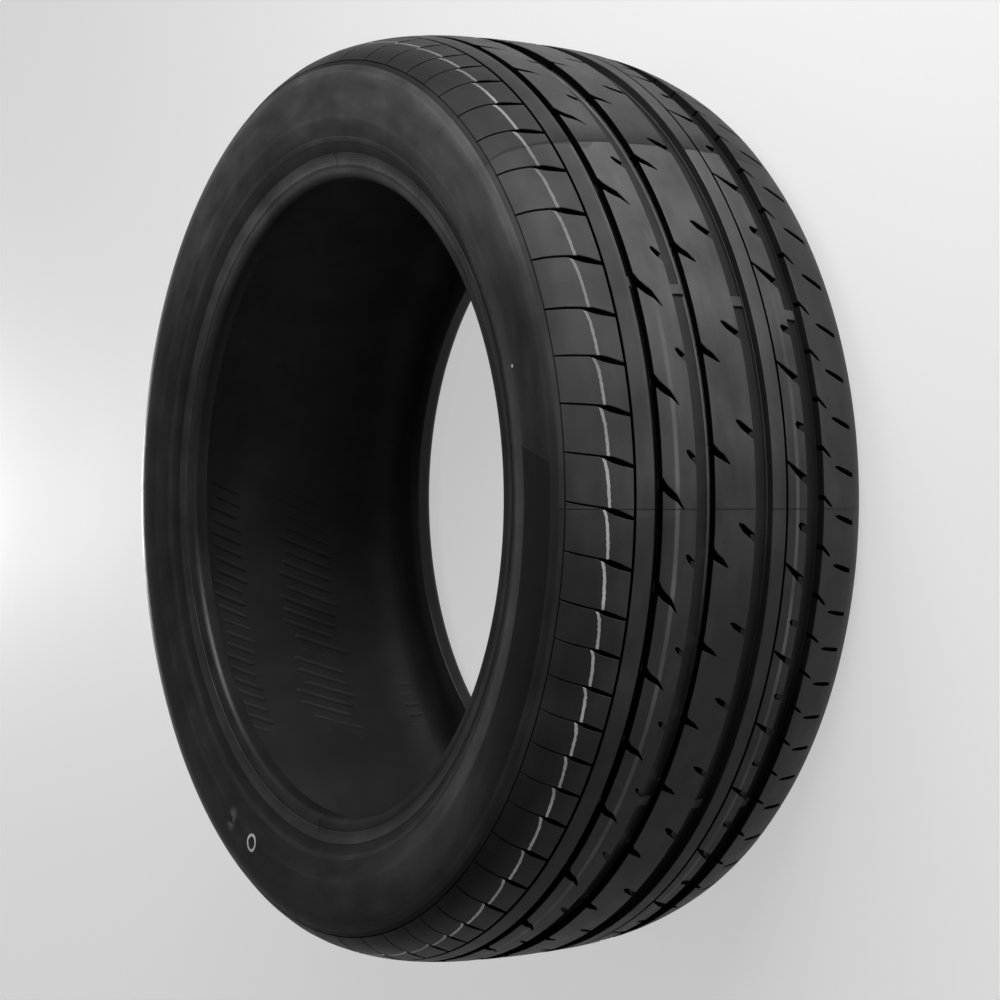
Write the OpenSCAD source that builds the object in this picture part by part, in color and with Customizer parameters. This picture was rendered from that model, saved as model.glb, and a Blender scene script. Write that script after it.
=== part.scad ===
// Low-profile car tyre, off its rim, for a 17 inch wheel.
// It lies on its inner sidewall: the axle line is +Z and the outer sidewall faces up.

/* [Overall size] */
// Diameter over the middle of the tread
tyre_d = 643.3; // [625:0.1:665]
// Width over both sidewalls
section_w = 236; // [230:0.5:242]
// Width of the flat ring at the widest line of each sidewall
belly_flat = 9; // [5:0.5:12]
// Height of the widest line, as a share of the way from bead seat to crown
belly_share = 0.55; // [0.5:0.01:0.6]

/* [Beads] */
// Diameter of the bead seats, which grip the rim
bead_d = 436.6; // [433:0.1:440]
// Distance between the outer faces of the two beads
bead_span = 212.8; // [208:0.2:218]
// Width of one bead from its face to its toe
bead_w = 13; // [11.5:0.1:15]
// Radius of the heel, between the seat and the face
heel_r = 5.5; // [4:0.1:6.5]
// Height of the flat face of a bead above its seat
bead_face_h = 13.2; // [11:0.1:16]
// Slant of the wall where it leaves the bead face, in degrees
flare_angle = 30; // [20:1:40]

/* [Tread crown] */
// Where the tread turns into the shoulder, from the middle
tread_edge = 97; // [95:0.5:101]
// Drop of the crown 100 mm from the middle, its flat part
crown_flat = 4.2; // [3:0.1:6]
// Drop of the crown 100 mm from the middle, its steep part
crown_steep = 9.7; // [8:0.1:12]
// Thickness of the tread from the crown to the inside
tread_t = 14.5; // [13:0.1:18]
// Thickness of the sidewall at its widest line
wall_t = 8; // [6:0.1:10]
// Distance from the tread edge to the end of the liner's flat run
liner_inset = 17; // [14:0.5:20]
// Depth of the fine ring line on each shoulder
ring_line_depth = 0.7; // [0.4:0.1:1.2]

/* [Ring grooves] */
// Depth of the four wide grooves
groove_depth = 7.5; // [6:0.1:8.5]
// How far a groove wall leans in towards the floor
groove_draft = 0.6; // [0.2:0.1:1]
// Place of the narrow groove next to the outer shoulder
groove_1_z = 60; // [58:0.2:62]
// Width of that groove
groove_1_w = 5.4; // [4:0.1:7]
// Place of the outer wide groove
groove_2_z = 27; // [26:0.2:28]
// Width of that groove
groove_2_w = 13.6; // [12:0.1:15]
// Place of the middle wide groove
groove_3_z = -16.8; // [-18:0.2:-15]
// Width of that groove
groove_3_w = 13.4; // [12:0.1:15]
// Place of the inner wide groove
groove_4_z = -59; // [-60:0.2:-58]
// Width of that groove
groove_4_w = 15; // [13:0.1:16]
// Place of the fine groove that ends the outer shoulder slots
fine_1_z = 75.1; // [73:0.1:76]
// Place of the fine groove in the inner rib
fine_2_z = -35; // [-37:0.1:-33]
// Width of the fine grooves
fine_w = 1.7; // [1:0.1:2.5]
// Depth of the fine grooves
fine_depth = 4; // [2.5:0.1:5.5]

/* [Cross slots] */
// Depth of the hooks that leave the grooves
hook_depth = 6; // [4:0.1:7]
// Depth of the short slots
slot_depth = 5; // [3:0.1:6.5]
// Depth of the slots across the outer shoulder
shoulder_slot_depth = 5.5; // [3:0.1:7]
// Distance from the outer tread edge to the middle of those slots
outer_slot_inset = 11.5; // [11:0.1:12.5]
// Distance from the inner tread edge to the middle of the slots there
inner_slot_inset = 9.5; // [8.5:0.1:11]
// Width of the fine cut from a shoulder slot to the ring line
sipe_w = 0.9; // [0.6:0.1:1.5]
// Depth of that fine cut
sipe_depth = 2.2; // [1.5:0.1:3.5]

/* [Pitches] */
// Order of the pattern pitches round the tyre, S short, M medium, L long
pitch_order = "MMLLMSMLLMSSMLLMSLMLSMLSLMSMMSSSM";
// Relative length of a short pitch
pitch_s = 29; // [27:1:31]
// Relative length of a medium pitch
pitch_m = 37; // [35:1:39]
// Relative length of a long pitch
pitch_l = 43; // [41:1:46]

/* [Wear bars] */
// How many sets of wear bars stand round the tyre
bar_sets = 6; // [4:1:8]
// Height of a wear bar above the groove floor
bar_h = 1.6; // [1.2:0.1:2.5]
// Length of a wear bar along its groove
bar_l = 7; // [5:0.5:12]

/* [Hidden] */

tyre_r = tyre_d / 2;
seat_r = bead_d / 2;
belly_r = seat_r + belly_share * (tyre_r - seat_r);
half_w = section_w / 2;
face_z = bead_span / 2;
toe_z = face_z - bead_w;
toe_chamfer = 0.8;
// Pull of a blend curve's handles, as a share of its chord
pull = 0.37;
curve_steps = 8;
// Share of the shoulder curve at which the ring line lies
ring_line_t = 0.5;
ring_line_half = 0.03;
// Half-height of the inner liner's flat run
liner_edge = tread_edge - liner_inset;
// Height above the tread from which the cutters start
over = 3;
// Angle of the first pitch round the axle line
first_pitch = -91.2;
// Angle of the first set of wear bars at the middle of the tread
first_bar = -67;
// Degrees by which a set steps round for each mm across the tread
bar_slant = 0.026;

// Radius of the crown at a distance z from the middle
function crown(z) = tyre_r - crown_flat * pow(z / 100, 2) - crown_steep * pow(z / 100, 4);

// Lean of the crown at z, in degrees, outwards on either side
function lean(z) = atan((2 * crown_flat * z / 100 + 4 * crown_steep * pow(z / 100, 3)) / 100);

// One point of a cubic curve, at share t of its way
function curve_point(p, t) =
    pow(1 - t, 3) * p[0] + 3 * t * pow(1 - t, 2) * p[1]
    + 3 * t * t * (1 - t) * p[2] + pow(t, 3) * p[3];

// Handles of a curve from a to b that leaves a along u and reaches b along v
function blend(a, b, u, v) = [a, a + pull * norm(b - a) * u, b - pull * norm(b - a) * v, b];

// Points of a curve in n steps, with the first few left out
function curve(p, n, skip) = [for (i = [skip:n]) curve_point(p, i / n)];

function backwards(v) = [for (i = [len(v) - 1:-1:0]) v[i]];
function other_side(points) = [for (p = points) [p.x, -p.y]];

// Outline points are [radius, height], from the tread edge down the outer sidewall
tread_corner = [crown(tread_edge), tread_edge];
belly_top = [belly_r + belly_flat / 2, half_w];
belly_low = [belly_r - belly_flat / 2, half_w];
face_top = [seat_r + bead_face_h, face_z];
shoulder = blend(tread_corner, belly_top, [-sin(lean(tread_edge)), cos(lean(tread_edge))], [-1, 0]);
flank = blend(belly_low, face_top, [-1, 0], [-cos(flare_angle), -sin(flare_angle)]);

// The way along the shoulder is square to the line that this gives
function shoulder_normal(t) =
    let (d = curve_point(shoulder, t + 0.01) - curve_point(shoulder, t - 0.01))
    [d.y, -d.x] / norm(d);

shoulder_points = concat(
    [for (t = [0:0.1:0.4]) curve_point(shoulder, t)],
    [curve_point(shoulder, ring_line_t - ring_line_half)],
    [curve_point(shoulder, ring_line_t) - ring_line_depth * shoulder_normal(ring_line_t)],
    [curve_point(shoulder, ring_line_t + ring_line_half)],
    [for (t = [0.6:0.1:1]) curve_point(shoulder, t)]);

heel_points = [for (a = [0:18:90]) [seat_r + heel_r, face_z - heel_r] + heel_r * [-sin(a), cos(a)]];

toe_points = [[seat_r, toe_z + toe_chamfer], [seat_r + toe_chamfer, toe_z]];

// The inside, from the toe up to the liner under the tread
inner_belly = [belly_r, half_w - wall_t];
liner_corner = [crown(liner_edge) - tread_t, liner_edge];
inner_flank = blend(toe_points[1], inner_belly, [1, 0], [1, 0]);
inner_shoulder = blend(inner_belly, liner_corner, [1, 0],
    [sin(lean(liner_edge)), -cos(lean(liner_edge))]);
liner_points = [for (i = [1:3]) let (z = liner_edge * (1 - i / 3.5)) [crown(z) - tread_t, z]];

side_points = concat(
    shoulder_points, curve(flank, curve_steps, 0), heel_points, toe_points,
    curve(inner_flank, curve_steps, 1), curve(inner_shoulder, curve_steps, 1), liner_points);

// Four corners of a ring groove, from its outer to its inner edge
function ring_groove(z, w, depth, draft) = [
    [crown(z + w / 2), z + w / 2],
    [crown(z) - depth, z + w / 2 - draft],
    [crown(z) - depth, z - w / 2 + draft],
    [crown(z - w / 2), z - w / 2]];

// Crown points between two heights, both left out
function crown_run(z0, z1, n) = [for (i = [1:n - 1]) let (z = z0 + (z1 - z0) * i / n) [crown(z), z]];

wide_grooves = [
    [groove_1_z, groove_1_w], [groove_2_z, groove_2_w],
    [groove_3_z, groove_3_w], [groove_4_z, groove_4_w]];

tread_points = concat(
    crown_run(tread_edge, fine_1_z + fine_w / 2, 4),
    ring_groove(fine_1_z, fine_w, fine_depth, 0),
    ring_groove(groove_1_z, groove_1_w, groove_depth, groove_draft),
    ring_groove(groove_2_z, groove_2_w, groove_depth, groove_draft),
    ring_groove(groove_3_z, groove_3_w, groove_depth, groove_draft),
    ring_groove(fine_2_z, fine_w, fine_depth, 0),
    ring_groove(groove_4_z, groove_4_w, groove_depth, groove_draft),
    crown_run(groove_4_z - groove_4_w / 2, -tread_edge, 4));

// Angles of the pitches, which differ in length so that the tyre doesn't hum
function pitch_length(i) =
    pitch_order[i] == "S" ? pitch_s : pitch_order[i] == "M" ? pitch_m : pitch_l;
function sum(v, n) = n == 0 ? 0 : v[n - 1] + sum(v, n - 1);
pitches = len(pitch_order);
pitch_lengths = [for (i = [0:pitches - 1]) pitch_length(i)];
turn = 360 / sum(pitch_lengths, pitches);
pitch_starts = [for (i = [0:pitches - 1]) first_pitch + turn * sum(pitch_lengths, i)];

// Both sides of a slot along its spine of [along the tread, across it, width]
function slot_outline(spine, stretch) = concat(
    [for (s = spine) [stretch * s[0] + s[2] / 2, s[1]]],
    [for (i = [len(spine) - 1:-1:0]) [stretch * spine[i][0] - spine[i][2] / 2, spine[i][1]]]);

// Spines of the slots, for a medium pitch
hook_1 = [[3.5, 2.5, 11], [0.9, -0.7, 6.6], [-1.8, -2.4, 4.8], [-5, -4.5, 4.2], [-9, -9.5, 3.2],
    [-15.2, -14.5, 0.8]];
hook_2 = [[4, 2, 9], [0.5, -0.7, 5.6], [-1.6, -3, 4], [-4.6, -7, 3.4], [-8, -11.3, 0.8]];
dash_1 = [[5.4, 6.4, 1], [4.2, 4.6, 3.2], [-1, -1.5, 3.4]];
dash_2 = [[8.6, 12.4, 1], [6.4, 9.2, 3.8], [-1, -1.5, 3.8]];
dash_3 = [[12.2, 16.3, 1.2], [9.5, 13, 2], [3.4, 5, 4], [-1, -1.5, 4.6]];
dash_4 = [[2.6, 7, 1], [2, 5.4, 4.2], [-0.6, -1.5, 4.4]];
nick = [[1, 1.5, 3], [-0.8, -1, 2.9], [-4, -5, 2.4], [-5.8, -7.5, 1]];
inner_slot = [[2.4, 10, 1], [1.6, 6, 2.8], [-1, -4, 3.4], [-2.4, -10, 2.6]];
outer_slot = [[1.3, 10, 0.9], [-1.2, 2.5, 3.2], [-3, -3, 2.8], [-5.5, -10.8, 1.5]];

// Places of the slots that leave no groove
inner_slot_z = inner_slot_inset - tread_edge;
outer_slot_z = tread_edge - outer_slot_inset;

// Puts its children on the crown at height z, at share u of pitch i, facing out
module on_tread(i, u, z)
    rotate([0, 0, pitch_starts[i] + u * turn * pitch_lengths[i]])
    translate([crown(z), 0, z])
    rotate([0, -lean(z), 0])
    rotate([90, 0, 90])
    children();

module slot(i, u, z, spine, depth)
    on_tread(i, u, z)
    translate([0, 0, -depth])
    linear_extrude(depth + over)
    polygon(slot_outline(spine, pitch_lengths[i] / pitch_m));

// Fine cut down the shoulder, from the outer slot's end to the ring line
ring_line = curve_point(shoulder, ring_line_t);
sipe_run = norm(ring_line - tread_corner);
sipe_lean = atan2(tread_corner.x - ring_line.x, ring_line.y - tread_corner.y);
sipe_skew = 10;
// How far the fine cut runs on into the slot
sipe_lap = 6;
module sipe(i, u)
    rotate([0, 0, pitch_starts[i] + u * turn * pitch_lengths[i]])
    translate([tread_corner.x, 0, tread_corner.y])
    rotate([0, -sipe_lean, 0])
    rotate([90, 0, 90])
    rotate([0, 0, -sipe_skew])
    translate([-sipe_w / 2, -sipe_lap, -sipe_depth])
    cube([sipe_w, sipe_run + sipe_lap, sipe_depth + 2 * over]);

// Everything cut across the ribs in one pitch
module cross_slots(i) {
    for (u = [0, 0.5]) {
        slot(i, u, outer_slot_z, outer_slot, shoulder_slot_depth);
        sipe(i, u + 0.026);
        slot(i, u + 0.12, groove_4_z - groove_4_w / 2, nick, slot_depth);
        slot(i, u + 0.39, inner_slot_z, inner_slot, slot_depth);
    }
    slot(i, 0.22, groove_1_z - groove_1_w / 2, hook_1, hook_depth);
    slot(i, 0.56, groove_2_z - groove_2_w / 2, hook_2, hook_depth);
    slot(i, 0.46, groove_2_z + groove_2_w / 2, dash_1, slot_depth);
    slot(i, 0.72, groove_3_z + groove_3_w / 2, dash_2, slot_depth);
    slot(i, 0.28, groove_4_z + groove_4_w / 2, dash_3, slot_depth);
    slot(i, 0.8, groove_4_z + groove_4_w / 2, dash_4, slot_depth);
}

// Low bars across the wide grooves, which come level with the ribs on a worn tyre
module wear_bars() {
    bar_angle = bar_l / tyre_r * 180 / PI;
    for (k = [0:bar_sets - 1], g = wide_grooves)
        rotate([0, 0, first_bar + bar_slant * g[0] + 360 / bar_sets * k - bar_angle / 2])
        rotate_extrude(angle = bar_angle)
        translate([crown(g[0]) - groove_depth - 1, g[0] - g[1] / 2])
        square([bar_h + 1, g[1]]);
}

module tyre() color("#2c2d2f") {
    difference() {
        rotate_extrude($fn = 180)
            polygon(concat(
                side_points, backwards(other_side(side_points)), backwards(tread_points)));
        for (i = [0:pitches - 1]) cross_slots(i);
    }
    wear_bars();
}

tyre();
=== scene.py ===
import math
import random

import bmesh
import bpy
from mathutils import Matrix, Vector


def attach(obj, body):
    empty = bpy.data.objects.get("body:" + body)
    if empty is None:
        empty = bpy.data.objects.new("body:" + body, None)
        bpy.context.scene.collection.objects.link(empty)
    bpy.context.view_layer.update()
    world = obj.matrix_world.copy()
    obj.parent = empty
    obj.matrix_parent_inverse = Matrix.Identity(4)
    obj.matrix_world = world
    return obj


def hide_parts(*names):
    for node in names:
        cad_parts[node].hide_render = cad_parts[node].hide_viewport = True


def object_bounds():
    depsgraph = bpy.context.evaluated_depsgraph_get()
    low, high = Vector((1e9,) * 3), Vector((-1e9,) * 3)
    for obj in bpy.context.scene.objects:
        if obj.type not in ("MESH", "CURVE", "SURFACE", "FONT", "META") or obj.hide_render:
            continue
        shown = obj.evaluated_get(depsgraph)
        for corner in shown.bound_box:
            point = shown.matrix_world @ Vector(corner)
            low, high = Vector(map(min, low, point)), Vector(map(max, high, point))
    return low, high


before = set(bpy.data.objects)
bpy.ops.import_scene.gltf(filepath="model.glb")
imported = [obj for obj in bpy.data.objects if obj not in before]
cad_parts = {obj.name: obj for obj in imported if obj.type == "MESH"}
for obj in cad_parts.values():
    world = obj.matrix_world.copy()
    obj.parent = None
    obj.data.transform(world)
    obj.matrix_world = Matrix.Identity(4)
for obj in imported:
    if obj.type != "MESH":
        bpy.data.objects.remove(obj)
cad_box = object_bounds()

# Tread
# The rubber that meets the road, pressed into the eight segments of the mould while it cures.
# One pitch of the pattern is cut in a flat slab, and its copies are laid round the crown.
mm = 0.001
tyre_r = cad_box[1].x
half_width = cad_box[1].z
tread_edge = 97 * mm
crown_flat = 4.2 * mm
crown_steep = 9.7 * mm
seat_r = 218.3 * mm
belly_r = seat_r + 0.55 * (tyre_r - seat_r)
belly_flat = 9 * mm
pull = 0.37

slab_depth = 12 * mm
land_step = 8 * mm
lip = 0.35 * mm
weld = 0.01 * mm
steps_per_pitch = 6

# Ring grooves as [place across the tread, width, depth, lean of the wall], in mm
wide_grooves = [[-59, 15, 7.5, 0.6], [-16.8, 13.4, 7.5, 0.6], [27, 13.6, 7.5, 0.6], [60, 5.4, 7.5, 0.6]]
fine_grooves = [[-35, 1.7, 4, 0], [75.1, 1.7, 4, 0]]
dark_share = 0.66
ring_line_share = 0.5
ring_line_half = 0.014
ring_line_depth = 0.7 * mm
cell_share = 0.6

pitch_order = "MMLLMSMLLMSSMLLMSLMLSMLSLMSMMSSSM"
pitch_sizes = {"S": 29, "M": 37, "L": 43}
first_pitch = math.radians(-91.2)
turn = 2 * math.pi / sum(pitch_sizes[p] for p in pitch_order)
pitch_len = turn * pitch_sizes["M"] * tyre_r

# Spines of the cross slots, in mm for a medium pitch: [along the tread, across it, width]
hook_1 = [[3.5, 2.5, 11], [0.9, -0.7, 7.6], [-1.4, -2.4, 6.4], [-3.6, -5, 5.8], [-6.6, -9.5, 4.6],
          [-13.2, -14.5, 1]]
hook_2 = [[4, 2, 9], [0.5, -0.7, 6.4], [-1.4, -3, 5], [-3.8, -7, 4.2], [-7.4, -11.3, 1]]
dash_1 = [[6.2, 6.4, 1.4], [4.8, 4.6, 4.6], [-1, -1.5, 5.2]]
dash_2 = [[8.9, 12.4, 1.4], [6.6, 9.2, 4.8], [-1, -1.5, 5.2]]
dash_3 = [[12.2, 16.3, 1.2], [9.5, 13, 3], [3.4, 5, 5.4], [-1, -1.5, 6]]
dash_4 = [[2.8, 7, 1.4], [2.2, 5.4, 5], [-0.6, -1.5, 5.4]]
nick = [[1, 1.5, 3], [-0.8, -1, 2.9], [-4, -5, 2.4], [-5.8, -7.5, 1]]
inner_slot = [[2.4, 10, 1], [1.6, 6, 2.8], [-1, -4, 3.4], [-2.4, -10, 2.6]]
outer_slot = [[1.3, 10, 1.1], [-1.2, 2.5, 3.9], [-3, -3, 3.6], [-5.5, -10.8, 2]]
sipe = [[3.3, 18.7, 0.7], [-1, -6, 0.9]]

# Cross slots as (share of the pitch, place across the tread, spine, depth), in mm
cross_slots = [
    (0.22, 57.3, hook_1, 6), (0.56, 20.2, hook_2, 6), (0.46, 33.8, dash_1, 5),
    (0.72, -10.1, dash_2, 5), (0.28, -51.5, dash_3, 5), (0.8, -51.5, dash_4, 5)]
for half in (0, 0.5):
    cross_slots += [
        (half, 85.5, outer_slot, 5.5), (half + 0.12, -66.5, nick, 5), (half + 0.39, -87.5, inner_slot, 5)]
sipes = [(half + 0.026, 97, sipe, 2.2) for half in (0, 0.5)]


def crown(z):
    """Radius of the crown at a distance z from the middle of the tread."""
    return tyre_r - crown_flat * (z / 0.1) ** 2 - crown_steep * (z / 0.1) ** 4


def lean(z):
    """Lean of the crown at z, outwards on either side."""
    return math.atan(20 * crown_flat * (z / 0.1) + 40 * crown_steep * (z / 0.1) ** 3)


def curve_point(p, t):
    """A point of a cubic curve at share t of its way."""
    a, b, c, d = (Vector(q) for q in p)
    return (1 - t) ** 3 * a + 3 * t * (1 - t) ** 2 * b + 3 * t * t * (1 - t) * c + t ** 3 * d


def curve_way(p, t):
    """The way that a cubic curve goes at share t."""
    return curve_point(p, t + 0.01) - curve_point(p, t - 0.01)


def blend_curve(a, b, u, v):
    """Handles of a curve from a to b that leaves a along u and reaches b along v."""
    a, b = Vector(a), Vector(b)
    reach = pull * (b - a).length
    return [a, a + reach * Vector(u), b - reach * Vector(v), b]


shoulder = blend_curve(
    (crown(tread_edge), tread_edge), (belly_r + belly_flat / 2, half_width),
    (-math.sin(lean(tread_edge)), math.cos(lean(tread_edge))), (-1, 0))
shoulder_run = (shoulder[3] - shoulder[0]).length
cell_edge = tread_edge + cell_share * shoulder_run
ring_line_y = tread_edge + ring_line_share * shoulder_run


def laid(flat, angle, scale):
    """A point of the flat slab, laid on the crown and the shoulders: x goes round, y across, z out."""
    y = abs(flat.y)
    if y <= tread_edge:
        point = Vector((crown(y), y))
        out = Vector((math.cos(lean(y)), math.sin(lean(y))))
    else:
        t = (y - tread_edge) / shoulder_run
        point = curve_point(shoulder, t)
        ahead = curve_way(shoulder, t)
        out = Vector((ahead.y, -ahead.x)).normalized()
    r, z = point + out * flat.z
    a = angle + scale * flat.x
    return Vector((r * math.cos(a), r * math.sin(a), math.copysign(z, flat.y)))


def land(y0, y1):
    """Points on the slab's top between two grooves, both ends left out."""
    count = math.ceil((y1 - y0) / land_step)
    return [(y0 + (y1 - y0) * i / count, 0) for i in range(1, count)]


def groove_points(place, width, depth, draft):
    """Points of a ring groove's section with its lips eased. Only a drafted one has a step in its walls."""
    y, half, deep, lean_in = place * mm, width * mm / 2, depth * mm, draft * mm
    part = dark_share if draft else 1
    far = [(y - half - lip, 0), (y - half, -lip), (y - half + part * lean_in, -part * deep)]
    near = [(2 * y - point[0], point[1]) for point in reversed(far)]
    floor_points = [(y - half + lean_in, -deep), (y + half - lean_in, -deep)] if draft else []
    return far + floor_points + near


def ring_line_points(side):
    """Points of the fine notch between the mould's segments and its side plate."""
    shares = [ring_line_share - ring_line_half, ring_line_share, ring_line_share + ring_line_half]
    points = [(side * (tread_edge + share * shoulder_run), -ring_line_depth * (share == ring_line_share))
              for share in shares]
    return points if side > 0 else points[::-1]


def slab_section():
    """Closed outline of the slab across the tread."""
    cuts = [groove_points(*g) for g in wide_grooves + fine_grooves]
    cuts += [ring_line_points(-1), ring_line_points(1), [(-tread_edge, 0)], [(tread_edge, 0)]]
    outline = [(-cell_edge, 0)]
    for cut in sorted(cuts, key=lambda points: points[0][0]):
        outline += land(outline[-1][0], cut[0][0]) + cut
    outline += land(outline[-1][0], cell_edge)
    return outline + [(cell_edge, 0), (cell_edge, -slab_depth), (-cell_edge, -slab_depth)]


def new_piece(bm, name):
    """A new object that holds the bmesh."""
    mesh = bpy.data.meshes.new(name)
    bm.to_mesh(mesh)
    bm.free()
    piece = bpy.data.objects.new(name, mesh)
    bpy.context.scene.collection.objects.link(piece)
    return piece


def of_type(geometry, kind):
    """The vertices, edges or faces among what an operator made."""
    return [g for g in geometry if isinstance(g, kind)]


def cutters(slots, name):
    """Solids that cut slots in the slab: each is its outline pushed out of the floor, with a flared lip."""
    bm = bmesh.new()
    for share, place, spine, depth in slots:
        stretch = tyre_r / crown(place * mm) * mm
        across = math.cos(lean(place * mm)) * mm if abs(place * mm) < tread_edge else mm
        for copy in (-1, 0, 1):
            x, y = (share + copy) * pitch_len, place * mm
            outline = [(x + (s[0] - s[2] / 2) * stretch, y + s[1] * across) for s in spine]
            outline += [(x + (s[0] + s[2] / 2) * stretch, y + s[1] * across) for s in reversed(spine)]
            floor = bm.faces.new([bm.verts.new((a, b, -depth * mm)) for a, b in outline])
            made = bmesh.ops.extrude_face_region(bm, geom=[floor])["geom"]
            bmesh.ops.translate(bm, verts=of_type(made, bmesh.types.BMVert), vec=(0, 0, depth * mm - lip))
            top = of_type(made, bmesh.types.BMFace)[0]
            bmesh.ops.inset_individual(
                bm, faces=[top], thickness=-2 * lip, depth=2 * lip, use_even_offset=True)
    bmesh.ops.recalc_face_normals(bm, faces=bm.faces)
    return new_piece(bm, name)


slab = bmesh.new()
step = pitch_len / steps_per_pitch
section = slab.faces.new([slab.verts.new((-step, y, h)) for y, h in slab_section()])
for _ in range(steps_per_pitch + 2):
    made = bmesh.ops.extrude_face_region(slab, geom=[section, *section.edges, *section.verts])["geom"]
    bmesh.ops.translate(slab, verts=of_type(made, bmesh.types.BMVert), vec=(step, 0, 0))
    section = of_type(made, bmesh.types.BMFace)[0]
bmesh.ops.recalc_face_normals(slab, faces=slab.faces)

pitch_slab = new_piece(slab, "pitch_slab")
blades = [cutters(cross_slots, "slot_blades"), cutters(sipes, "sipe_blades")]
for blade in blades:
    cut = pitch_slab.modifiers.new(blade.name, "BOOLEAN")
    cut.operation = "DIFFERENCE"
    cut.solver = "EXACT"
    cut.object = blade
bpy.context.view_layer.update()
pressed = bpy.data.meshes.new_from_object(pitch_slab.evaluated_get(bpy.context.evaluated_depsgraph_get()))

# One pitch is trimmed out of the slab, without the underside and the two sides, which the tyre hides
cell = bmesh.new()
cell.from_mesh(pressed)
for end, way in ((0, -1), (pitch_len, 1)):
    bmesh.ops.bisect_plane(
        cell, geom=cell.verts[:] + cell.edges[:] + cell.faces[:], dist=1e-6,
        plane_co=(end, 0, 0), plane_no=(way, 0, 0), clear_outer=True)
hidden = [f for f in cell.faces
          if f.calc_center_median().z < 10 * weld - slab_depth
          or abs(f.calc_center_median().y) > cell_edge - weld]
bmesh.ops.delete(cell, geom=hidden, context="FACES")
bmesh.ops.triangulate(cell, faces=cell.faces, quad_method="BEAUTY", ngon_method="BEAUTY")

# Its faces are the tops of the ribs, the floors of the wide grooves, or the walls of what is cut
top_depth = 0.25 * mm
floor_depth = 4.5 * mm
pattern = cell.loops.layers.uv.new("pattern")
for face in cell.faces:
    centre = face.calc_center_median()
    in_ring_line = abs(abs(centre.y) - ring_line_y) < ring_line_half * shoulder_run
    in_wide = any(abs(centre.y / mm - place) < width / 2 for place, width, _, _ in wide_grooves)
    is_top = face.normal.z > 0.5 and -centre.z < top_depth and not in_ring_line
    is_floor = in_wide and abs(face.normal.x) < 0.1 and -centre.z > floor_depth
    face.material_index = 0 if is_top else 1 if is_floor else 2
    for loop in face.loops:
        loop[pattern].uv = (loop.vert.co.x / pitch_len, loop.vert.co.y)
pitch_cell = bpy.data.meshes.new("pitch_cell")
cell.to_mesh(pitch_cell)
cell.free()


def lay_copy(bm, flat_mesh, angle, scale):
    """Adds a copy of a flat mesh, laid round the tread at an angle."""
    first = len(bm.verts)
    bm.from_mesh(flat_mesh)
    bm.verts.ensure_lookup_table()
    for vert in bm.verts[first:]:
        vert.co = laid(vert.co, angle, scale)


tyre = bmesh.new()
angle = first_pitch
for name in pitch_order:
    span = turn * pitch_sizes[name]
    lay_copy(tyre, pitch_cell, angle, span / pitch_len)
    angle += span
bmesh.ops.remove_doubles(tyre, verts=tyre.verts, dist=weld)
for piece in [pitch_slab] + blades:
    bpy.data.objects.remove(piece)


def add_node(tree, kind, feeds, **settings):
    """Adds a shader node, sets it up, and feeds its inputs with sockets or plain values."""
    made = tree.nodes.new(kind)
    for key, value in settings.items():
        setattr(made, key, value)
    for key, value in feeds.items():
        if isinstance(value, bpy.types.NodeSocket):
            tree.links.new(value, made.inputs[key])
        else:
            made.inputs[key].default_value = value
    return made


def maths(tree, operation, *values):
    """Result of a sum on sockets or plain values."""
    return add_node(tree, "ShaderNodeMath", dict(enumerate(values)), operation=operation).outputs[0]


def product(tree, first, *others):
    """All the values multiplied together."""
    for value in others:
        first = maths(tree, "MULTIPLY", first, value)
    return first


def ramp(tree, value, start, end, low=0.0, high=1.0, kind="SMOOTHSTEP"):
    """Goes from low to high while the value goes from start to end."""
    feeds = {"Value": value, "From Min": start, "From Max": end, "To Min": low, "To Max": high}
    return add_node(tree, "ShaderNodeMapRange", feeds, interpolation_type=kind).outputs["Result"]


def mixed(tree, share, low, high):
    """Low where the share is 0, high where it is 1."""
    return ramp(tree, share, 0, 1, low, high, "LINEAR")


def band(tree, value, centre, half, soft):
    """1 where the value lies within half of the centre, fading to 0 over a soft edge."""
    off = maths(tree, "ABSOLUTE", maths(tree, "SUBTRACT", value, centre))
    return ramp(tree, off, half + soft, half)


def noise(tree, place, scale, detail=2.0):
    """Cloudy noise from 0 to 1."""
    feeds = {"Vector": place, "Scale": scale, "Detail": detail}
    return add_node(tree, "ShaderNodeTexNoise", feeds).outputs[0]


def wobble(tree, place, scale, reach):
    """Noise that strays up to half its reach either way."""
    return maths(tree, "MULTIPLY", maths(tree, "SUBTRACT", noise(tree, place, scale), 0.5), reach)


def streaks(tree, along, across, depth):
    """Share by which long faint streaks change the tone."""
    spread = add_node(tree, "ShaderNodeCombineXYZ", {"X": maths(tree, "MULTIPLY", along, 9),
                                                    "Y": maths(tree, "MULTIPLY", across, 0.1)})
    return mixed(tree, noise(tree, spread.outputs[0], 1, 3), 1 - depth, 1 + depth)


def parts(tree, vector):
    """The x, y and z of a vector."""
    return add_node(tree, "ShaderNodeSeparateXYZ", {"Vector": vector}).outputs


def start_rubber(name):
    """A new material with each point's place and x, and its angle, radius and height in mm."""
    material = bpy.data.materials.new(name)
    material.use_nodes = True
    tree = material.node_tree
    place = add_node(tree, "ShaderNodeTexCoord", {}).outputs["Object"]
    x, y, z = parts(tree, place)
    angle = maths(tree, "ARCTAN2", y, x)
    radius = maths(tree, "SQRT", maths(tree, "MULTIPLY_ADD", x, x, maths(tree, "MULTIPLY", y, y)))
    in_mm = [maths(tree, "MULTIPLY", length, 1000) for length in (radius, z)]
    return material, tree, place, x, angle, *in_mm


# Cured rubber is never even: its tone is cloudy, its shine comes and goes, and it has a fine grain
cloud_scale = 19
cloud_depth = 0.26
shine_scale = 60
shine_depth = 0.09
grain_scale = 420
grain_height = 0.09


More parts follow.
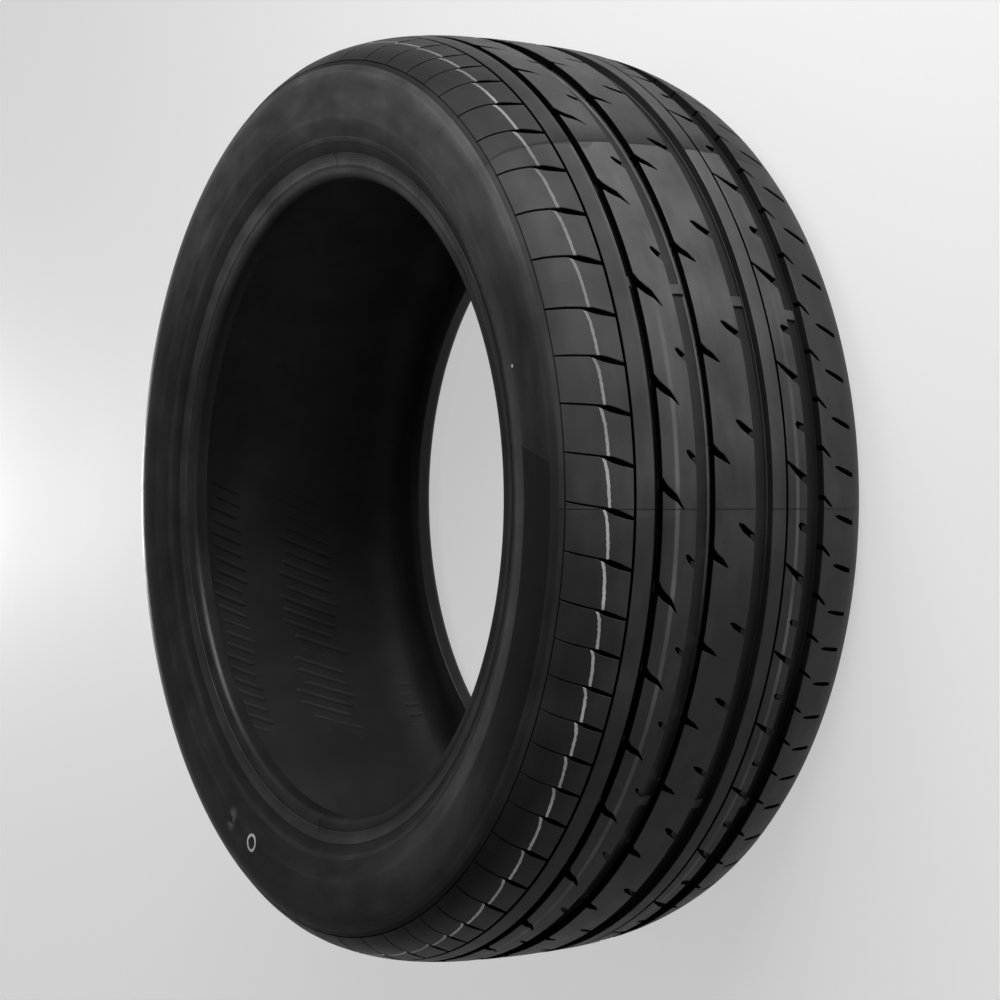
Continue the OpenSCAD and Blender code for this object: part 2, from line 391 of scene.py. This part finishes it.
def finish_rubber(tree, place, tone, rough, relief, gloss):
    """Gives the rubber its tone, its roughness, a relief in mm, and its gloss."""
    cloud = ramp(tree, noise(tree, place, cloud_scale, 4), 0.3, 0.7)
    tone = maths(tree, "MULTIPLY", tone, mixed(tree, cloud, 1 - cloud_depth, 1 + cloud_depth))
    shine = mixed(tree, noise(tree, place, shine_scale, 3), -shine_depth, shine_depth)
    grain = maths(tree, "MULTIPLY_ADD", noise(tree, place, grain_scale, 3), grain_height, relief)
    bump = add_node(tree, "ShaderNodeBump", {"Height": grain, "Distance": mm})
    shader = tree.nodes["Principled BSDF"]
    shader.inputs["Specular IOR Level"].default_value = gloss
    tree.links.new(tone, shader.inputs["Base Color"])
    tree.links.new(maths(tree, "ADD", rough, shine), shader.inputs["Roughness"])
    tree.links.new(bump.outputs["Normal"], shader.inputs["Normal"])


# The mould's segments meet in thin lines, one in eight of a turn apart, and each leaves its own tone.
# A line is full within its core, in mm, and gapes to more than twice that towards +x.
first_split = math.radians(-91.1)
split_step = math.radians(45)
split_core = 0.25
split_edge = 0.7
segment_depth = 0.32


def split_lines(tree, x, angle, place):
    """The lines where the mould's segments meet, the tone of each segment, and a darkening just past each
    line.
    """
    share = maths(tree, "DIVIDE", maths(tree, "SUBTRACT", angle, first_split), split_step)
    wrapped = maths(tree, "FRACT", maths(tree, "ADD", share, 0.5))
    off = maths(tree, "ABSOLUTE", maths(tree, "SUBTRACT", wrapped, 0.5))
    off = product(tree, off, ramp(tree, x, -0.06, 0.16, 1, 0.4), split_step * tyre_r * 1000)
    segment = maths(tree, "FLOOR", maths(tree, "ADD", share, wobble(tree, place, 30, 0.12)))
    wave = maths(tree, "SINE", maths(tree, "MULTIPLY_ADD", segment, 3.96, 0.75))
    past = product(tree, maths(tree, "FRACT", share), mixed(tree, noise(tree, place, 24, 3), 0.2, 1.8))
    return (ramp(tree, off, split_edge, split_core), maths(tree, "MULTIPLY_ADD", wave, segment_depth, 1),
            ramp(tree, past, 0, 0.08, 0.3, 1))


# Tones of the ribs and shoulder blocks, with painted light and shade. A pair is for the side of the tyre
# towards +x and for the side towards -x, and the change between them is painted light and shade for how the
# lamp falls on the tyre. It fades from the first x to the second.
painted_light_fade = (0.16, -0.06)
rib_tones = (0.049, 0.037)
block_shares = (0.48, 1.2)
split_shares = (0.08, 0.45)
stripe_tone = 0.17
# The line painted on the outer shoulder runs aslant over each half pitch and hooks out at its end, in mm
paint_y = 90.4
paint_slant = 1.2
paint_hook = 1.8
paint_half = 0.7
paint_soft = 0.3
paint_stray = 1.2
# The paint's tone towards +x and towards -x, which paints light and shade on it.
paint_tones_painted_light = (0.15, 0.8)
paint_rise = 0.12

tread_rubber, tree, place, x, angle, radius, height = start_rubber("tread_rubber")
uv = add_node(tree, "ShaderNodeUVMap", {}, uv_map="pattern").outputs["UV"]
along, across, _ = parts(tree, uv)
across = maths(tree, "MULTIPLY", across, 1000)
off = maths(tree, "ABSOLUTE", across)
line, segment_tone, darkening_past_line = split_lines(tree, x, angle, place)
# Mask of painted shade: 0 on the side towards +x, rising to 1 on the side towards -x.
painted_shade_side = ramp(tree, x, *painted_light_fade)
tone = product(tree, segment_tone, mixed(tree, painted_shade_side, *rib_tones), ramp(tree, across, -45, -20, 0.8, 1),
               streaks(tree, angle, across, 0.4))
# The shoulder blocks take the same painted light and shade, and are darker towards the tread's edge.
block_tone = product(tree, mixed(tree, painted_shade_side, *block_shares), ramp(tree, off, 66, 104, 0.95, 0.6))
# Painted shade: the tread is darker still at far -x.
tone = product(tree, tone, mixed(tree, ramp(tree, off, 62, 66), 1, block_tone),
               ramp(tree, x, -0.25, -0.13, 0.38, 1))
stripes = maths(tree, "ADD", band(tree, across, 47.5, 1, 0.9), band(tree, across, -43.4, 0.9, 0.8))
stripes = product(tree, stripes, painted_shade_side, noise(tree, place, 24))
tone = maths(tree, "MULTIPLY_ADD", stripes, stripe_tone, tone)
undarkened = maths(tree, "MAXIMUM", painted_shade_side, ramp(tree, off, 70, 76))
tone = product(tree, tone, mixed(tree, line, 1, mixed(tree, painted_shade_side, *split_shares)),
               mixed(tree, undarkened, darkening_past_line, 1))
stroke = maths(tree, "FRACT", maths(tree, "MULTIPLY", along, 2))
hooked = maths(tree, "MULTIPLY", maths(tree, "POWER", stroke, 6), paint_hook)
middle = maths(tree, "ADD", maths(tree, "MULTIPLY_ADD", stroke, paint_slant, paint_y), hooked)
paint_off = maths(tree, "ADD", maths(tree, "SUBTRACT", across, middle), wobble(tree, place, 500, paint_stray))
paint = band(tree, paint_off, 0, paint_half, paint_soft)
# Painted light and shade: the paint goes from dim towards +x to bright towards -x.
white = product(tree, ramp(tree, x, 0.1, -0.16, *paint_tones_painted_light),
                mixed(tree, noise(tree, place, 40, 3), 0.6, 1.3))
relief = maths(tree, "MULTIPLY", maths(tree, "ADD", line, paint), paint_rise)
finish_rubber(tree, place, mixed(tree, paint, tone, white), mixed(tree, paint, 0.55, 0.7), relief, 0.22)

# Floors of the wide grooves, painted darker than the ribs as shade in the recess, with painted highlights at
# the foot of two walls, at heights in mm
floor_tone = 0.019
inner_floor_tones = (0.01, 0.016)
foot_highlight_tone = 0.16
groove_rubber, tree, place, x, angle, radius, height = start_rubber("groove_rubber")
tone = mixed(tree, ramp(tree, height, 0, 4), ramp(tree, height, -45, -30, *inner_floor_tones), floor_tone)
# Painted shade: the floor beyond 40 mm is painted almost black.
tone = maths(tree, "MULTIPLY", tone, ramp(tree, height, 50, 40, 0.1, 1))
foot_highlight = maths(tree, "ADD", band(tree, height, 20.67, 0.09, 0.04),
                  maths(tree, "MULTIPLY", band(tree, height, -23.03, 0.09, 0.04), 0.4))
# The painted highlights fade towards -x.
foot_highlight = maths(tree, "MULTIPLY", foot_highlight, ramp(tree, x, -0.1, 0.01, 0.05, 1))
finish_rubber(tree, place, mixed(tree, foot_highlight, tone, foot_highlight_tone), 0.55, 0, 0.3)

# Walls of grooves and slots, painted near black as the shade inside them. The painted shade is paler in the
# two widest grooves and past the edge of the tread.
cut_rubber, tree, place, x, angle, radius, height = start_rubber("cut_rubber")
wide_3 = band(tree, height, -16.8, 6.9, 0.2)
wide_4 = band(tree, height, -59, 7.6, 0.2)
tone = maths(tree, "MULTIPLY_ADD", wide_3, 0.012, maths(tree, "MULTIPLY_ADD", wide_4, 0.006, 0.002))
tone = maths(tree, "ADD", tone, ramp(tree, maths(tree, "ABSOLUTE", height), 96, 108, 0, 0.018))
finish_rubber(tree, place, tone, 0.7, 0, 0)

# Shoulders, sidewalls and beads
# Soft rubber over the body plies, drawn down from the tread to the two beads, whose heels grip the rim.
# The mould's two side plates press them. Each wall is drawn on from the edge of the tread, ring by ring.
face_top = (seat_r + 13.2 * mm, 106.4 * mm)
heel_r = 5.5 * mm
toe_z = 93.4 * mm
toe_chamfer = 0.8 * mm
flare = math.radians(30)
flank = blend_curve(
    (belly_r - belly_flat / 2, half_width), face_top, (-1, 0), (-math.cos(flare), -math.sin(flare)))
flank_step = 2.6 * mm
bead_foot_r = 225.5 * mm

# Raised rings on the sidewall and the bead as (middle radius, width, height)
wall_rings = [(244.6 * mm, 3.2 * mm, 0.2 * mm), (231.8 * mm, 7.6 * mm, 0.35 * mm)]
ring_slope = 0.3 * mm


def draw_on(bm, rim, r, z, material):
    """Extrudes an open rim to a new circle, and returns the rim that it makes there."""
    made = bmesh.ops.extrude_edge_only(bm, edges=rim)["geom"]
    verts = of_type(made, bmesh.types.BMVert)
    for vert in verts:
        size = r / math.hypot(vert.co.x, vert.co.y)
        vert.co = (vert.co.x * size, vert.co.y * size, z)
    new_rim = [e for e in of_type(made, bmesh.types.BMEdge) if e.verts[0] in verts and e.verts[1] in verts]
    for edge in new_rim:
        edge.link_faces[0].material_index = material
    return new_rim


def share_where(curve, axis, value):
    """Share of a curve's way at which it falls to a value of x or y, found by halving."""
    low, high = 0, 1
    for _ in range(30):
        middle = (low + high) / 2
        low, high = (middle, high) if curve_point(curve, middle)[axis] > value else (low, middle)
    return low


def ring_rise(r):
    """How far the rings raise the wall at a radius."""
    return max(rise if abs(r - middle) < width / 2 + 0.1 * mm else 0 for middle, width, rise in wall_rings)


radii = [belly_r - belly_flat / 2 - flank_step * i for i in range(14)] + [face_top[0], bead_foot_r]
for middle, width, rise in wall_rings:
    for side in (1, -1):
        radii += [middle + side * width / 2, middle + side * (width / 2 + ring_slope)]

wall = [curve_point(shoulder, cell_share + (1 - cell_share) * i / 5) for i in range(1, 6)]
wall += [(r, curve_point(flank, share_where(flank, 0, r)).y + ring_rise(r))
         for r in sorted(radii, reverse=True)]
wall += [(seat_r + heel_r - heel_r * math.sin(a), face_top[1] - heel_r + heel_r * math.cos(a))
         for a in [math.pi / 2 * i / 6 for i in range(7)]]
wall += [(seat_r, toe_z + toe_chamfer), (seat_r + toe_chamfer, toe_z)]
rims = []
for side in (1, -1):
    rim = [e for e in tyre.edges if e.is_boundary and side * e.verts[0].co.z > 0]
    for r, z in wall:
        rim = draw_on(tyre, rim, r, side * z, 3)
    rims.append(rim)


def dot(tree, angle, radius, at_angle, at_radius, squeeze=1.0):
    """Distance in mm from a spot on the sidewall, at an angle in degrees."""
    along = maths(tree, "MULTIPLY", maths(tree, "SUBTRACT", angle, math.radians(at_angle)), at_radius)
    out = maths(tree, "MULTIPLY", maths(tree, "SUBTRACT", radius, at_radius), squeeze)
    return maths(tree, "SQRT", maths(tree, "MULTIPLY_ADD", along, along, maths(tree, "MULTIPLY", out, out)))


def spoke(tree, angle, radius, at_angle, middle, reach, half):
    """A thin radial line on the sidewall, at an angle in degrees."""
    off = maths(tree, "MULTIPLY", maths(tree, "SUBTRACT", angle, math.radians(at_angle)), middle)
    return maths(tree, "MULTIPLY", band(tree, off, 0, half, 0.4), band(tree, radius, middle, reach, 0.5))


# Tone of the sidewall, and the painted highlights and shade of its rings and bead as (radius in mm, share of
# the plain tone)
wall_tone = 0.058
ring_light_and_shade = [
    (218, 0.55), (219.5, 0.8), (225.6, 1.05), (226.6, 0.35), (227.8, 1.6), (235, 1.5), (236.3, 0.45),
    (240, 0.6), (242.6, 0.8), (243.6, 1.15), (246, 1.1), (247.2, 0.8), (257, 0.95), (260, 1.35),
    (261.6, 1), (272, 1.05), (288, 0.95), (289.4, 1.3), (291, 1)]

wall_rubber, tree, place, x, angle, radius, height = start_rubber("wall_rubber")
upper = maths(tree, "GREATER_THAN", height, 0)
low, high = ring_light_and_shade[0][0], ring_light_and_shade[-1][0]
wavy = maths(tree, "ADD", radius, wobble(tree, place, 9, 2))
rings = tree.nodes.new("ShaderNodeValToRGB")
while len(rings.color_ramp.elements) < len(ring_light_and_shade):
    rings.color_ramp.elements.new(0.5)
for stop, (r, level) in zip(rings.color_ramp.elements, ring_light_and_shade):
    stop.position = (r - low) / (high - low)
    stop.color = (level / 2, level / 2, level / 2, 1)
tree.links.new(ramp(tree, wavy, low, high, kind="LINEAR"), rings.inputs["Fac"])
# Painted light and shade: the wall is paler towards +x, a little paler again at far -x, and has a painted
# highlight low on the wall near -136 degrees.
painted_wall_light = maths(tree, "ADD", ramp(tree, x, 0.08, 0.22, 0.5, 1.55), ramp(tree, x, -0.05, -0.22, 0, 0.15))
painted_sheen = ramp(tree, dot(tree, angle, radius, -136, 264, 4), 140, 0, 1, 2.2)
split, _, _ = split_lines(tree, x, angle, place)
split = maths(tree, "MULTIPLY", split, ramp(tree, radius, 297, 302))
tone = product(tree, rings.outputs["Color"], wall_tone, streaks(tree, angle, radius, 0.7), painted_wall_light, painted_sheen,
               mixed(tree, split, 1, 0.3))

# The matte hatched panel of the outer sidewall has one slanted end, and one that fades away. Radii in mm.
panel_r = 275.3
panel_half = 13.2
panel_slant = math.radians(2.8) / 30
panel_start = math.radians(-83.2)
panel_start_r = 262
panel_fade = (math.radians(-150), math.radians(-108))
panel_share = 0.15
weave_rate = 3600
slanted = maths(tree, "MULTIPLY_ADD", radius, -panel_slant, panel_start + panel_start_r * panel_slant)
begins = ramp(tree, maths(tree, "SUBTRACT", angle, slanted), 0.002, -0.002)
panel = product(tree, begins, ramp(tree, angle, *panel_fade),
                band(tree, radius, panel_r, panel_half, 0.4), upper)
tone = maths(tree, "MULTIPLY", tone, mixed(tree, panel, 1, panel_share))
_, y, _ = parts(tree, place)
weave = maths(tree, "SINE", maths(tree, "MULTIPLY", maths(tree, "ADD", x, y), weave_rate))

# Splices of the rubber on the bead, a painted ring, a small speck, and a smear beside the ring
splices = maths(tree, "ADD", spoke(tree, angle, radius, -3, 231.5, 4.5, 0.4),
                maths(tree, "ADD", spoke(tree, angle, radius, -32.3, 231.5, 4.5, 0.4),
                      spoke(tree, angle, radius, 176.5, 225, 6, 0.4)))
splices = maths(tree, "MULTIPLY", splices, upper)
tone = maths(tree, "MULTIPLY", tone, mixed(tree, splices, 1, 0.3))
ring_mark = band(tree, dot(tree, angle, radius, 158.7, 265), 5.6, 0.8, 0.4)
speck = ramp(tree, dot(tree, angle, radius, -72.3, 261.2), 1.3, 0.8)
smear = product(tree, ramp(tree, dot(tree, angle, radius, 151.2, 266, 0.75), 8.5, 2), upper,
                ramp(tree, noise(tree, place, 150, 3), 0.36, 0.6))
white = maths(tree, "MULTIPLY", maths(tree, "MAXIMUM", ring_mark, speck), upper)
tone = mixed(tree, white, mixed(tree, smear, tone, 0.13), 0.6)
relief = product(tree, weave, panel, 0.06)
relief = maths(tree, "MULTIPLY_ADD", splices, -0.3, maths(tree, "MULTIPLY_ADD", white, 0.08, relief))
rough = mixed(tree, panel, mixed(tree, ramp(tree, radius, 246, 230), 0.5, 0.4), 0.8)
finish_rubber(tree, place, tone, rough, relief, 0.3)

# Inner liner
# A skin of airtight rubber on the inside, from toe to toe, moulded against a blown bladder.
# It closes the tyre's body, which is one moulding and stands for the one solid.
wall_t = 8 * mm
tread_t = 14.5 * mm
liner_edge = 80 * mm
inner_belly = (belly_r, half_width - wall_t)
inner_flank = blend_curve((seat_r + toe_chamfer, toe_z), inner_belly, (1, 0), (1, 0))
inner_shoulder = blend_curve(
    inner_belly, (crown(liner_edge) - tread_t, liner_edge), (1, 0),
    (math.sin(lean(liner_edge)), -math.cos(lean(liner_edge))))
inside = [curve_point(inner_flank, i / 10) for i in range(1, 11)]
inside += [curve_point(inner_shoulder, i / 10) for i in range(1, 11)]
inside += [(crown(z) - tread_t, z) for z in [liner_edge * (1 - i / 6) for i in range(1, 6)]]

ends = []
for side, rim in zip((1, -1), rims):
    for r, z in inside:
        rim = draw_on(tyre, rim, r, side * z, 4)
    ends += rim
for face in bmesh.ops.bridge_loops(tyre, edges=ends)["faces"]:
    face.material_index = 4
tyre.normal_update()
bmesh.ops.recalc_face_normals(tyre, faces=tyre.faces)

crease = math.radians(33)
for face in tyre.faces:
    face.smooth = True
for edge in tyre.edges:
    edge.smooth = edge.calc_face_angle(0) < crease
tyre_body = new_piece(tyre, "tyre_body")


def liner_painted_light_tone(tree, x):
    """Tone of the liner, with painted light that makes it paler towards +x."""
    return ramp(tree, x, -0.12, 0.05, 0.022, 0.04)


liner_rubber, tree, place, x, angle, radius, height = start_rubber("liner_rubber")
finish_rubber(tree, place, liner_painted_light_tone(tree, x), 0.6, 0, 0.25)
for material in (tread_rubber, groove_rubber, cut_rubber, wall_rubber, liner_rubber):
    tyre_body.data.materials.append(material)
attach(tyre_body, "root")
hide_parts("tyre")

# Liner ridges
# Soft low ridges of the liner's own rubber, which fills the bladder's slanted vent grooves.
# They come in broken belts round the liner, sunk in it so that only their crowns show.
ridge_count = 190
ridge_step = 2 * math.pi / ridge_count
ridge_slant = math.radians(-3.4) / (45 * mm)
ridge_half_w = 3.2 * mm
ridge_half_h = 1.2 * mm
ridge_sunk = 0.55 * mm
ridge_fade = 0.05
ridge_stray = 5 * mm
# Belts of ridges as (middle height, length of a ridge, lowest x, highest x)
ridge_belts = [(35 * mm, 32 * mm, -0.22, 0.05), (-35 * mm, 54 * mm, -0.22, 0.03),
               (-100 * mm, 12 * mm, -0.23, -0.13)]
draw = random.Random(5)


def liner_point(z):
    """Point of the liner's section at a height z, and the way the liner faces there."""
    if abs(z) < liner_edge:
        return Vector((crown(z) - tread_t, z)), Vector((-math.cos(lean(z)), -math.sin(lean(z))))
    share = share_where(inner_shoulder, 1, abs(z))
    ahead = curve_way(inner_shoulder, share)
    faces = Vector((ahead.y, math.copysign(ahead.x, -z))).normalized()
    return Vector((curve_point(inner_shoulder, share).x, z)), faces


def ridge_rod(length):
    """A flat mesh of one ridge along y, rounded and tapered at its ends."""
    rod = bmesh.new()
    bmesh.ops.create_cone(rod, cap_ends=True, segments=8, radius1=1, radius2=1, depth=2,
                          matrix=Matrix.Rotation(math.pi / 2, 4, "X"))
    long_edges = [e for e in rod.edges if abs(e.verts[0].co.y - e.verts[1].co.y) > 1]
    bmesh.ops.subdivide_edges(rod, edges=long_edges, cuts=5)
    tips = [v for v in rod.verts if abs(v.co.y) > 0.9]
    bmesh.ops.scale(rod, verts=tips, vec=(0.3, 1, 0.3))
    bmesh.ops.scale(rod, verts=rod.verts, vec=(ridge_half_w, length / 2, ridge_half_h))
    side = rod.loops.layers.uv.new("side")
    for face in rod.faces:
        face.smooth = True
        for loop in face.loops:
            loop[side].uv = (loop.vert.co.x / ridge_half_w, 0)
    mesh = bpy.data.meshes.new("ridge_rod")
    rod.to_mesh(mesh)
    rod.free()
    return mesh


ridges = bmesh.new()
for middle, length, low_x, high_x in ridge_belts:
    rod_mesh = ridge_rod(length)
    for k in range(ridge_count):
        at = k * ridge_step
        shift = draw.uniform(-ridge_stray, ridge_stray) * length / (50 * mm)
        strength = draw.uniform(0.75, 1.05)
        x = (tyre_r - tread_t) * math.cos(at + ridge_slant * middle)
        patchy = 1.1 + 0.4 * math.sin(0.5 * k + length)
        strength *= max(0, min(1, (x - low_x) / ridge_fade, (high_x - x) / ridge_fade, patchy))
        if ridge_half_h * strength < ridge_sunk:
            continue
        first = len(ridges.verts)
        ridges.from_mesh(rod_mesh)
        ridges.verts.ensure_lookup_table()
        for vert in ridges.verts[first:]:
            point, faces = liner_point(middle + shift + vert.co.y)
            r, z = point + faces * (vert.co.z * strength - ridge_sunk)
            a = at + ridge_slant * z + vert.co.x / r
            vert.co = (r * math.cos(a), r * math.sin(a), z)
ridges.normal_update()
bmesh.ops.recalc_face_normals(ridges, faces=ridges.faces)
liner_ridges = new_piece(ridges, "liner_ridges")

# One flank of a ridge is painted lit and the other is painted in shade
flank_light_and_shade = (0.046, 0.013)
ridge_rubber, tree, place, x, angle, radius, height = start_rubber("ridge_rubber")
uv = add_node(tree, "ShaderNodeUVMap", {}, uv_map="side").outputs["UV"]
side, _, _ = parts(tree, uv)
crest = ramp(tree, maths(tree, "ABSOLUTE", side), 0.95, 0.4)
tone = mixed(tree, crest, liner_painted_light_tone(tree, x), ramp(tree, side, -0.5, 0.5, *flank_light_and_shade))
finish_rubber(tree, place, tone, 0.6, 0, 0.25)
liner_ridges.data.materials.append(ridge_rubber)
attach(liner_ridges, "root")

# Wear bars
# Low blocks of the tread's own rubber, moulded across the wide grooves in six sets round the tyre.
# They come level with the ribs when the tread is worn out.
bar_sets = 6
bar_h = 1.6
bar_l = 7
bar_sunk = 0.6
bar_lap = 0.2
bar_round = 0.45 * mm
bar_tone = 0.056
first_bar = math.radians(-67)
bar_slant = math.radians(0.026)
bars = bmesh.new()
for across_mm, width, deep, draft in wide_grooves:
    bar = bmesh.new()
    bmesh.ops.create_cube(bar, size=1)
    bmesh.ops.scale(
        bar, verts=bar.verts, vec=Vector((bar_l, width - 2 * draft + bar_lap, bar_h + bar_sunk)) * mm)
    bmesh.ops.translate(bar, verts=bar.verts, vec=Vector((0, across_mm, (bar_h - bar_sunk) / 2 - deep)) * mm)
    top = [e for e in bar.edges if all(v.co.z > -deep * mm for v in e.verts)]
    bmesh.ops.bevel(
        bar, geom=top, offset=bar_round, segments=2, profile=0.5, affect="EDGES", material=-1)
    bar_mesh = bpy.data.meshes.new("bar")
    bar.to_mesh(bar_mesh)
    bar.free()
    for k in range(bar_sets):
        lay_copy(bars, bar_mesh, first_bar + bar_slant * across_mm + 2 * math.pi / bar_sets * k, 1 / tyre_r)
bars.normal_update()
bmesh.ops.recalc_face_normals(bars, faces=bars.faces)
wear_bars = new_piece(bars, "wear_bars")
bar_rubber, tree, place, x, angle, radius, height = start_rubber("bar_rubber")
finish_rubber(tree, place, bar_tone, 0.55, 0, 0.3)
wear_bars.data.materials.append(bar_rubber)
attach(wear_bars, "root")

# Studio
# A pale painted floor under the tyre, with soft lamps above, before and behind it.
# The camera stands at the photograph's angle, turned so that the tyre seems to stand upright.
floor_size = 40
floor_mesh = bmesh.new()
bmesh.ops.create_grid(floor_mesh, x_segments=1, y_segments=1, size=floor_size / 2)
bmesh.ops.translate(floor_mesh, verts=floor_mesh.verts, vec=(0, 0, -half_width))
floor = new_piece(floor_mesh, "floor")
floor_paint = bpy.data.materials.new("floor_paint")
floor_paint.use_nodes = True
tree = floor_paint.node_tree
floor_place = add_node(tree, "ShaderNodeTexCoord", {}).outputs["Object"]
rays = add_node(tree, "ShaderNodeLightPath", {}).outputs
seen = maths(tree, "MAXIMUM", rays["Is Camera Ray"],
             maths(tree, "MAXIMUM", rays["Is Glossy Ray"], rays["Is Transmission Ray"]))
shader = tree.nodes["Principled BSDF"]
shader.inputs["Emission Color"].default_value = (1, 1, 1, 1)
tree.links.new(mixed(tree, seen, 0.25, 0.36), shader.inputs["Base Color"])
tree.links.new(mixed(tree, seen, 0, 0.5), shader.inputs["Emission Strength"])
tree.links.new(mixed(tree, noise(tree, floor_place, 6), 0.6, 0.7), shader.inputs["Roughness"])
floor.data.materials.append(floor_paint)

world = bpy.data.worlds.new("studio")
world.use_nodes = True
world.node_tree.nodes["Background"].inputs["Color"].default_value = (0.8, 0.8, 0.8, 1)
world.node_tree.nodes["Background"].inputs["Strength"].default_value = 0.2
bpy.context.scene.world = world


def lamp(name, place, target, size, power):
    """A square soft lamp that faces a target."""
    data = bpy.data.lights.new(name, "AREA")
    data.size = size
    data.energy = power
    made = bpy.data.objects.new(name, data)
    made.location = place
    made.rotation_euler = (Vector(target) - Vector(place)).to_track_quat("-Z", "Y").to_euler()
    bpy.context.scene.collection.objects.link(made)


lamp("key", (1.5, -1.0, 0.5), (0, 0, 0), 1.0, 36)
lamp("top", (0.85, -0.15, 0.7), (0.2, 0, 0), 0.5, 5)
lamp("fill", (-0.4, -2.4, 1.6), (0, 0, 0), 2.0, 2)
lamp("back", (0, 2.4, 0.02), (0, 0, 0.02), 0.25, 15)

camera_data = bpy.data.cameras.new("camera")
camera = bpy.data.objects.new("camera", camera_data)
camera_data.sensor_width = 36
camera_data.lens = 87.25
camera_data.shift_x = 0.0002
camera_data.shift_y = 0.003
stand = Vector((0, -1.46623, 0.90275))
right = Vector((-0.000446, -0.537805, -0.843069))
up = Vector((0.999998, 0.001233, -0.001315))
ahead = Vector((-0.001747, 0.843069, -0.537803))
turned = Matrix((right, up, -ahead)).transposed().to_4x4()
camera.matrix_world = Matrix.Translation(stand) @ turned
bpy.context.scene.collection.objects.link(camera)
bpy.context.scene.camera = camera
bpy.context.scene.view_settings.view_transform = "Standard"

bpy.context.view_layer.update()
